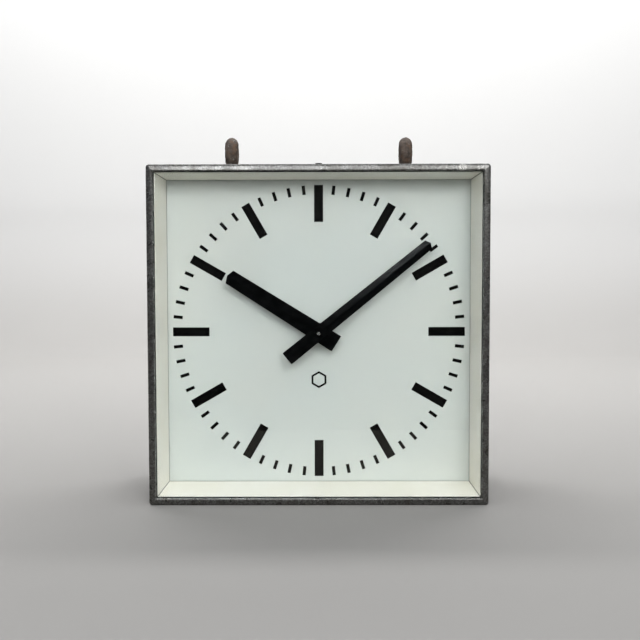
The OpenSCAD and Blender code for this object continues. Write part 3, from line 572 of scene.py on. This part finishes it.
FINISHES = {
    "case_paint": hammered_enamel(),
    "seal_rubber": seal_rubber(),
    "clear_glass": window_glass(),
    "reveal_paint": aged_cream(),
    "dial_enamel": dial_enamel(),
    "dial_ink": printed_ink(),
    "hand_black": hand_black(),
    "dark_steel": metal_finish("dark_steel", (0.035, 0.034, 0.03), (0.02, 0.019, 0.016), 0.35, 0.5),
    "plate_zinc": metal_finish("plate_zinc", (0.58, 0.57, 0.5), (0.42, 0.4, 0.3), 0.3, 0.5),
    "bright_steel": metal_finish("bright_steel", (0.6, 0.6, 0.59), (0.4, 0.39, 0.37), 0.2, 0.4, True),
    "wheel_brass": metal_finish("wheel_brass", (0.75, 0.56, 0.24), (0.5, 0.36, 0.16), 0.2, 0.42, True),
    "magnet_grey": metal_finish("magnet_grey", (0.16, 0.16, 0.17), (0.1, 0.1, 0.1), 0.4, 0.6),
    "stator_iron": layered("stator_iron", "Y", 320, (0.42, 0.41, 0.4), (0.25, 0.24, 0.23), 0.85, 0.4),
    "coil_copper": layered("coil_copper", "X", 320, (0.55, 0.24, 0.1), (0.25, 0.09, 0.035), 0.75, 0.32),
    "screw_dark": metal_finish("screw_dark", (0.2, 0.2, 0.195), (0.12, 0.115, 0.1), 0.35, 0.55),
    "forged_iron": forged_iron(),
    "terminal_bakelite": moulded_brown(),
}


def dress(obj, slot):
    """Gives a piece the finish of a slot."""
    obj.data.materials.clear()
    obj.data.materials.append(FINISHES[slot])


def stand_for(obj, slot, body, *nodes):
    """Finishes a new piece, and puts it in place of its nodes."""
    dress(obj, slot)
    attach(obj, body)
    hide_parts(*nodes)


SLOT_OF_NODE = {
    "case_paint": ["case_body"],
    "plate_zinc": ["mounting_rail", "hanger_bar"],
    "screw_dark": ["case_screws"],
    "bright_steel": [
        "movement_pillars", "movement_screws", "rail_bolts",
        "dial_screws", "eye_washers", "eye_nuts",
    ],
    "terminal_bakelite": ["terminal_block"],
}
SLOT_OF_FACE_NODE = {
    "seal_rubber": ["glass_seal"],
    "clear_glass": ["glass"],
    "reveal_paint": ["reveal"],
    "dial_enamel": ["dial"],
    "dial_ink": ["dial_print"],
    "plate_zinc": ["base_plate", "top_plate"],
    "bright_steel": ["centre_arbor", "rotor_arbor"],
    "wheel_brass": ["centre_wheel", "cannon_pinion", "motion_wheel", "hour_wheel", "intermediate_wheel"],
    "magnet_grey": ["rotor_magnet"],
    "stator_iron": ["stator"],
    "coil_copper": ["impulse_coil"],
}
for slot, names in SLOT_OF_NODE.items():
    for name in names:
        dress(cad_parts[name], slot)
for slot, names in SLOT_OF_FACE_NODE.items():
    for name in names:
        for face in FACES:
            dress(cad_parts[f"{face}_{name}"], slot)


# ---------------------------------------------------------------- bezels


def screw_places(face):
    """Middles of the bezel screws on one face, as (side, height, depth): they are the corners
    of the case screws that lie at the sides, well above or below the middle and near the face."""
    at_side, least_height, least_depth = 0.1, 60, 40
    p = frame_points("case_screws", face)
    half_w = np.abs(p[:, 0]).max()
    places = []
    for side in (-1, 1):
        for up in (-1, 1):
            beside = side * p[:, 0] > half_w - at_side
            screw = p[beside & (up * p[:, 1] > least_height) & (p[:, 2] > least_depth)]
            low, high = screw.min(0), screw.max(0)
            places.append((side * half_w, (low[1] + high[1]) / 2, (low[2] + high[2]) / 2))
    return places


BEZEL_SHEET = 1.5
LIP_FALL = 1.0
RETURN_LEN = 7.0
CASE_CORNER_R, RETURN_CORNER_R = 4.0, 1.1
# Bores of the bezel screws: a cylinder that widens to the face, as (radius, height).
SCREW_SINK = np.array([[0, -3], [2.05, -3], [2.05, -1.5], [3.55, 0], [3.55, 1], [0, 1]])


def bezel(face):
    """The bent sheet frame: skirt, rounded outer edge, lip that falls back a little
    towards that edge, inner return, all in one section carried round the rounded rectangle."""
    p = frame_points(f"{face}_bezel", face)
    half = np.abs(p[:, :2]).max(0)
    front, back = p[:, 2].max(), p[:, 2].min()
    inner = np.maximum(np.abs(p[:, 0]) - half[0], np.abs(p[:, 1]) - half[1]).min()
    lip = -inner
    sheet = BEZEL_SHEET
    corners = [
        (0, back),
        (0, front - LIP_FALL),
        (lip, front),
        (lip, front - RETURN_LEN),
        (lip - sheet, front - RETURN_LEN),
        (lip - sheet, front - sheet),
        (sheet, front - sheet - LIP_FALL),
        (sheet, back),
    ]
    radii = [0.2, 2.3, 1.3, 0.4, 0.4, 0.3, 0.8, 0.2]
    profile = round_corners(corners, radii, 7)
    grid = frame_sweep(profile, half, CASE_CORNER_R, RETURN_CORNER_R)
    obj = piece_from_grids(f"{face}_bent_bezel", [(to_world(grid, face), True, True, False)], 50)
    ring = lathe(SCREW_SINK, 40)
    for x, y, z in screw_places(face):
        side = np.sign(x)
        moved = np.stack([x + side * ring[..., 2], y + ring[..., 1], z - side * ring[..., 0]], -1)
        sink = piece_from_grids("sink", [(to_world(moved, face), True, False, False)])
        combine(obj, sink, "DIFFERENCE")
    shade(obj, 32)
    stand_for(obj, "case_paint", "housing", f"{face}_bezel")


for face in FACES:
    bezel(face)


# ---------------------------------------------------------------- hands


def chamfered_ring(bore, r, low, high, edge):
    """Section of a turned ring with its outer edges rounded in two steps."""
    step = edge * 0.3
    return np.array([
        [bore, low], [r - edge, low], [r - step, low + step], [r, low + edge],
        [r, high - edge], [r - step, high - step], [r - edge, high], [bore, high],
    ])


def turned_piece(name, face, section, steps=72, wave=None):
    """A closed section turned round the face's middle."""
    grid = lathe(section, steps, wave)
    return piece_from_grids(name, [(to_world(grid, face), True, True, False)], 30)


def collet(face, hand):
    """The round collet under a hand."""
    node = f"{face}_{hand}_collet"
    p = frame_points(node, face)
    radius = np.hypot(p[:, 0], p[:, 1])
    section = chamfered_ring(radius.min(), radius.max(), p[:, 2].min(), p[:, 2].max(), 0.4)
    piece = turned_piece(f"{face}_{hand}_turned_collet", face, section)
    stand_for(piece, "dark_steel", f"{face}_{hand}", node)


def nut(face):
    """The small knurled nut on the centre arbor. Its side is scaled by
    1 - depth * (1 + cos(ridges * turn)) / 2, and the rest of it is plain."""
    bore, mouth, depth, ridges = 2.06, 2.35, 0.02, 30
    node = f"{face}_hand_nut"
    p = frame_points(node, face)
    radius = np.hypot(p[:, 0], p[:, 1])
    low, high, r = p[:, 2].min(), p[:, 2].max(), radius.max()
    section = np.array([
        [bore, low], [r - 0.2, low], [r, low + 0.2], [r, high - 0.9], [r - 0.35, high - 0.35],
        [r - 1.0, high], [mouth, high], [bore, high - 0.3],
    ])

    def knurl(turn, at_radius, height):
        return 1 - depth * (at_radius > r - 0.1) * (1 + np.cos(ridges * turn)) / 2

    piece = turned_piece(f"{face}_knurled_nut", face, section, 180, knurl)
    stand_for(piece, "hand_black", f"{face}_minute", node)


# Each hand's bore and the radius of its hub.
HANDS = (("hour", 5.03, 8.6), ("minute", 3.53, 7.6))
for face in FACES:
    for hand, bore, hub_r in HANDS:
        node = f"{face}_{hand}_hand"
        measures = hand_measures(node, face)
        piece = folded_hand(f"{face}_folded_{hand}_hand", face, measures, bore, hub_r)
        stand_for(piece, "hand_black", f"{face}_{hand}", node)
        collet(face, hand)
    nut(face)


# ---------------------------------------------------------------- eyes and grommet


def lumps(p, scale, seed):
    """Gentle lumps at each point: the sum of nine sine waves in seeded directions."""
    rng = np.random.default_rng(seed)
    waves = rng.normal(size=(9, 3)) * scale
    phase = rng.uniform(0, 2 * math.pi, 9)
    size = 1 / (1 + np.linalg.norm(waves, axis=1) / scale)
    return (np.sin(p @ waves.T + phase) * size).sum(1) / size.sum()


# Room left inside the frame's eye for the lumps of the forging.
LUMP_ROOM = 0.25
SHANK_R = 5.95
EYE_SEEDS = {"left": 3, "right": 8}


def hanging_eye(side):
    """A forged eye: ring, flared collar and shank fused by remeshing, then swelled and pitted
    along its normals by lumps of about 6 mm and 2 mm, which fade out towards the case top."""
    node = f"hanging_eye_{side}"
    low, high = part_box(node)
    middle = (low.x + high.x) / 2 / MM
    bar = (high.x - low.x) / 2 / MM - LUMP_ROOM
    top = high.z / MM - LUMP_ROOM
    ring = (high.y - low.y) / 2 / MM - bar - LUMP_ROOM
    centre = top - ring - bar
    u = np.linspace(0, 2 * math.pi, 96, endpoint=False)[:, None]
    v = np.linspace(0, 2 * math.pi, 48, endpoint=False)[None, :]
    across = ring + bar * np.cos(v)
    beside = middle + bar * np.sin(v) + 0 * u
    torus = np.stack([beside, across * np.sin(u), centre + across * np.cos(u)], -1)
    foot = low.z / MM
    shank = np.array([[0, foot], [5.4, foot], [SHANK_R, foot + 0.6], [SHANK_R, CASE_TOP - 1]])
    collar = np.array([
        [SHANK_R, 0.1], [8.3, 0.1], [8.45, 0.8], [7.6, 3.5], [6.6, 6.5], [6.1, 9.5], [0, 9.5],
    ])
    stem = np.concatenate([shank, collar + [0, CASE_TOP]])
    post = lathe(stem) + [middle, 0, 0]
    grids = [(torus * MM, True, True, False), (post * MM, True, False, False)]
    obj = piece_from_grids(f"forged_eye_{side}", grids)
    fuse = obj.modifiers.new("fuse", "REMESH")
    fuse.mode = "VOXEL"
    fuse.voxel_size = 0.55 * MM
    soften = obj.modifiers.new("soften", "SMOOTH")
    soften.iterations = 6
    apply_modifiers(obj)
    mesh = obj.data
    co = np.zeros(len(mesh.vertices) * 3)
    mesh.vertices.foreach_get("co", co)
    normal = np.zeros(len(mesh.vertices) * 3)
    mesh.vertices.foreach_get("normal", normal)
    p, n = co.reshape(-1, 3), normal.reshape(-1, 3)
    seed = EYE_SEEDS[side]
    swell = 0.45 * lumps(p / MM, 0.7, seed) + 0.28 * lumps(p / MM, 2.1, seed + 20)
    shown = np.clip((p[:, 2] / MM - CASE_TOP - 1.5) / 3, 0, 1)
    p = p + n * (swell * shown)[:, None] * MM
    p = np.clip(p, [low.x, low.y, low.z], [high.x, high.y, high.z])
    mesh.vertices.foreach_set("co", p.ravel())
    mesh.update()
    shade(obj, 180)
    stand_for(obj, "forged_iron", "housing", node)


for side in EYE_SEEDS:
    hanging_eye(side)


def grommet():
    """The moulded cable grommet: rounded flange, short neck with a rolled end, open bore."""
    bore, neck, collar, flange = 2.75, 5.9, 4.5, 9
    low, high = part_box("cable_grommet")
    base, top = low.z / MM, high.z / MM
    outline = np.array([
        [bore, base], [neck, base], [neck, CASE_TOP + 0.05], [flange, CASE_TOP + 0.05],
        [flange, CASE_TOP + 2.5], [collar, CASE_TOP + 2.9], [collar, top], [bore, top],
    ])
    section = round_corners(outline, [0.3, 0.5, 0.05, 0.2, 0.9, 1.0, 0.8, 0.6], 6)
    piece = piece_from_grids("moulded_grommet", [(lathe(section) * MM, True, True, False)], 60)
    stand_for(piece, "seal_rubber", "housing", "cable_grommet")


grommet()


# ---------------------------------------------------------------- stage, lights and camera


def pale_stage():
    """Matt pale floor and wall, deeper in tone low down. Reflections see it dimmer, which keeps
    a bright floor from veiling the glass."""
    low_tone, high_tone, reflected = (0.5, 0.49, 0.475), (0.88, 0.88, 0.875), (0.16, 0.145, 0.12)
    f = Finish("pale_stage")
    height = f.add("SeparateXYZ", {0: f.place}).outputs["Z"]
    body = f.mix(f.ramp(height, 0.0, 0.5), low_tone, high_tone)
    body = f.mix(f.add("LightPath").outputs["Is Glossy Ray"], body, reflected)
    f.surface(body, 0.85, level=0.2)
    return f.material


WALL_DEPTH = 2.1
COVE_HALF_WIDTH, COVE_TOP, COVE_DROP = 6.0, 5.0, -1.0


def cove():
    """Floor that rolls down at its front edge and sweeps up into the wall at its back:
    two quarter circles joined by straight runs."""
    front, edge, bend = -0.66, 0.15, 0.4
    turn = np.linspace(0, math.pi / 2, 24)
    sweep = WALL_DEPTH - bend + bend * np.sin(turn)
    y = np.concatenate([[front - edge], front - edge * np.cos(turn), sweep, [WALL_DEPTH]])
    climb = bend - bend * np.cos(turn)
    z = np.concatenate([[COVE_DROP], edge * np.sin(turn) - edge, climb, [COVE_TOP]])
    x = np.array([-COVE_HALF_WIDTH, COVE_HALF_WIDTH])
    shape = (2, len(y))
    points = np.stack([np.broadcast_to(v, shape) for v in (x[:, None], y, z)], -1)
    mesh = bpy.data.meshes.new("cove")
    mesh.from_pydata(points.reshape(-1, 3).tolist(), [], quads(2, len(y), False, False).tolist())
    obj = bpy.data.objects.new("cove", mesh)
    bpy.context.scene.collection.objects.link(obj)
    mesh.polygons.foreach_set("use_smooth", np.ones(len(mesh.polygons), bool))
    mesh.materials.append(pale_stage())


cove()
FACE_MIDDLE = np.array([0, -0.1, MID_HEIGHT * MM])


def softbox(name, azimuth, elevation, distance, size, power, colour, aim=FACE_MIDDLE):
    """A rectangular light, distance metres from its aim: azimuth is to the right of -Y and
    elevation above the horizon, both in degrees, and power is in watts."""
    a, e = math.radians(azimuth), math.radians(elevation)
    away = np.array([math.sin(a) * math.cos(e), -math.cos(a) * math.cos(e), math.sin(e)])
    data = bpy.data.lights.new(name, "AREA")
    data.shape = "RECTANGLE"
    data.size, data.size_y = size
    data.energy = power
    data.color = colour
    lamp = bpy.data.objects.new(name, data)
    bpy.context.scene.collection.objects.link(lamp)
    spot = Vector(aim + away * distance)
    lamp.location = spot
    lamp.rotation_mode = "QUATERNION"
    lamp.rotation_quaternion = (Vector(aim) - spot).to_track_quat("-Z", "Y")


WARM, COOL, WHITE = (1.0, 0.995, 0.98), (0.98, 0.99, 1.0), (1.0, 1.0, 1.0)
KEY_SIZE, TOP_SIZE, WASH_SIZE = (0.6, 0.55), (2.4, 1.2), (3.0, 0.8)
WALL_MIDDLE = np.array([0, WALL_DEPTH, 0.6])
softbox("key_right", 18, 20, 3.0, KEY_SIZE, 17.5, WARM)
softbox("key_middle", -6, 19, 3.0, KEY_SIZE, 16, COOL)
softbox("top", 0, 70, 2.6, TOP_SIZE, 12, WHITE)
softbox("wall_wash", 0, 60, 2.0, WASH_SIZE, 63, WHITE, WALL_MIDDLE)


def room():
    """Pale surroundings that fade to a dim room in front of the clock. The camera itself
    sees them evenly pale."""
    fade_from, fade_to, behind, in_front, seen_level = 0.2, 0.85, 0.3, 0.004, 0.9
    world = bpy.data.worlds.new("room")
    world.use_nodes = True
    tree = world.node_tree
    ground = tree.nodes["Background"]
    ground.inputs["Color"].default_value = (0.93, 0.95, 1.0, 1)
    place = tree.nodes.new("ShaderNodeTexCoord").outputs["Generated"]
    toward = tree.nodes.new("ShaderNodeVectorMath")
    toward.operation = "DOT_PRODUCT"
    tree.links.new(place, toward.inputs[0])
    toward.inputs[1].default_value = (0, -1, 0)
    fade = tree.nodes.new("ShaderNodeMapRange")
    fade.interpolation_type = "SMOOTHSTEP"
    tree.links.new(toward.outputs["Value"], fade.inputs["Value"])
    fade.inputs["From Min"].default_value = fade_from
    fade.inputs["From Max"].default_value = fade_to
    fade.inputs["To Min"].default_value = behind
    fade.inputs["To Max"].default_value = in_front
    seen = tree.nodes.new("ShaderNodeMix")
    tree.links.new(tree.nodes.new("ShaderNodeLightPath").outputs["Is Camera Ray"], seen.inputs[0])
    tree.links.new(fade.outputs["Result"], seen.inputs[2])
    seen.inputs[3].default_value = seen_level
    tree.links.new(seen.outputs[0], ground.inputs["Strength"])
    bpy.context.scene.world = world


room()


def camera():
    """Eye-level camera, a touch right of the middle, tilted down about four degrees. Its axes
    come from the level direction turned by yaw, lowered by tilt and rolled about themselves."""
    place, tilt, yaw, roll = (0.0116, -1.5947, 0.3326), 3.94, -0.37, 0.12
    data = bpy.data.cameras.new("camera")
    data.sensor_width = 36
    data.lens = 68.625
    data.dof.use_dof = False
    obj = bpy.data.objects.new("camera", data)
    bpy.context.scene.collection.objects.link(obj)
    tilt, yaw, roll = (math.radians(angle) for angle in (tilt, yaw, roll))
    level = np.array([math.sin(yaw), math.cos(yaw), 0])
    up = np.array([0, 0, 1])
    ahead = math.cos(tilt) * level - math.sin(tilt) * up
    right = np.array([math.cos(yaw), -math.sin(yaw), 0])
    above = math.sin(tilt) * level + math.cos(tilt) * up
    x_axis = math.cos(roll) * right - math.sin(roll) * above
    y_axis = math.sin(roll) * right + math.cos(roll) * above
    turn = Matrix([[x_axis[i], y_axis[i], -ahead[i]] for i in range(3)])
    obj.rotation_mode = "QUATERNION"
    obj.rotation_quaternion = turn.to_quaternion()
    obj.location = place
    bpy.context.scene.camera = obj


camera()
bpy.context.scene.view_settings.view_transform = "Standard"
